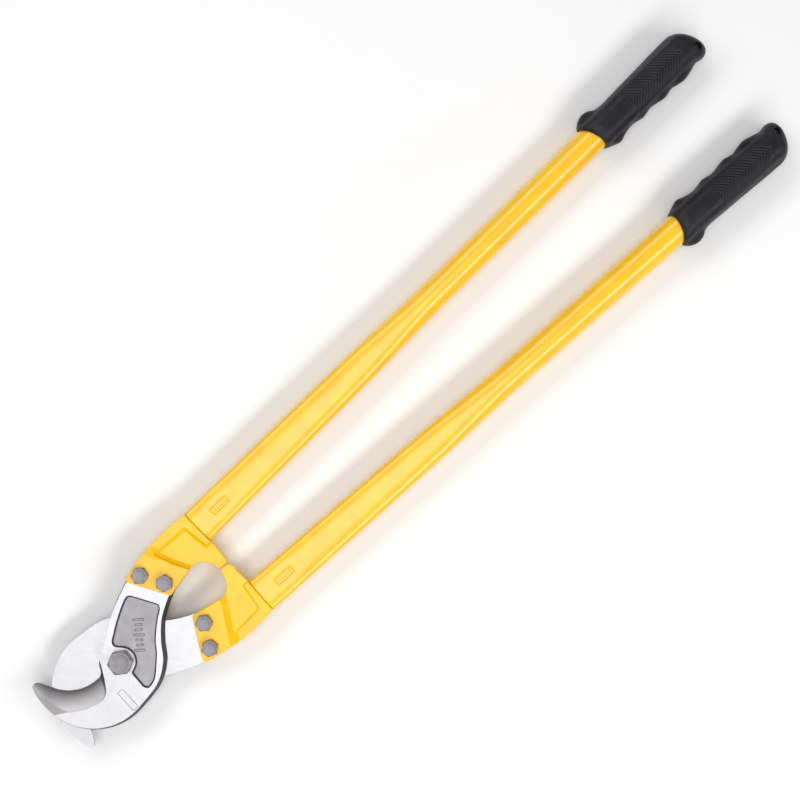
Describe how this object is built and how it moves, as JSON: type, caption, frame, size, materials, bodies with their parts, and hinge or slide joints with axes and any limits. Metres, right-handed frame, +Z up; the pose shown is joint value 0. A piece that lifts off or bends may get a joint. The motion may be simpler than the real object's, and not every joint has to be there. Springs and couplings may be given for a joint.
{
  "type": "long-arm cable cutter",
  "caption": "Cable cutter with long arms: two hooked shear blades on a pivot bolt, each bolted into a forged fork on a steel tube handle with a moulded grip.",
  "frame": {"origin": "the pivot axis where it meets the surface the tool lies on, at the end face of the pivot bolt", "axes": "+X from the pivot along the tool to the grips, +Y to the handle of the upper blade, +Z up through the pivot bolt to its head"},
  "size_m": [0.8014, 0.1488, 0.035],
  "materials": {
    "blade_steel": "satin faces, ground bevel, dark forged flanks and pocket",
    "yellow_paint": "glossy enamel",
    "grip_rubber": "matte, moulded chevrons",
    "fastener_steel": "dull grey zinc",
    "nut_nylon": "matte"
  },
  "bodies": {
    "lower_half": {"lower_blade": "blade_steel", "lower_fork_head": "yellow_paint", "lower_handle_tube": "yellow_paint", "lower_grip": "grip_rubber", "lower_blade_bolt_1": "fastener_steel", "lower_blade_bolt_2": "fastener_steel", "lower_lock_washer_1": "fastener_steel", "lower_lock_washer_2": "fastener_steel", "lower_blade_nut_1": "fastener_steel", "lower_blade_nut_2": "fastener_steel", "pivot_bolt": "fastener_steel", "pivot_washer": "fastener_steel", "pivot_nut": "fastener_steel", "pivot_nut_ring": "nut_nylon"},
    "upper_half": {"upper_blade": "blade_steel", "upper_fork_head": "yellow_paint", "upper_handle_tube": "yellow_paint", "upper_grip": "grip_rubber", "upper_blade_bolt_1": "fastener_steel", "upper_blade_bolt_2": "fastener_steel", "upper_lock_washer_1": "fastener_steel", "upper_lock_washer_2": "fastener_steel", "upper_blade_nut_1": "fastener_steel", "upper_blade_nut_2": "fastener_steel"}
  },
  "joints": [
    {"name": "handles_open", "type": "hinge", "parent": "lower_half", "child": "upper_half", "pos_m": [0, 0, 0.0175], "axis": [0, 0, 1], "range_deg": [0, 100]}
  ]
}
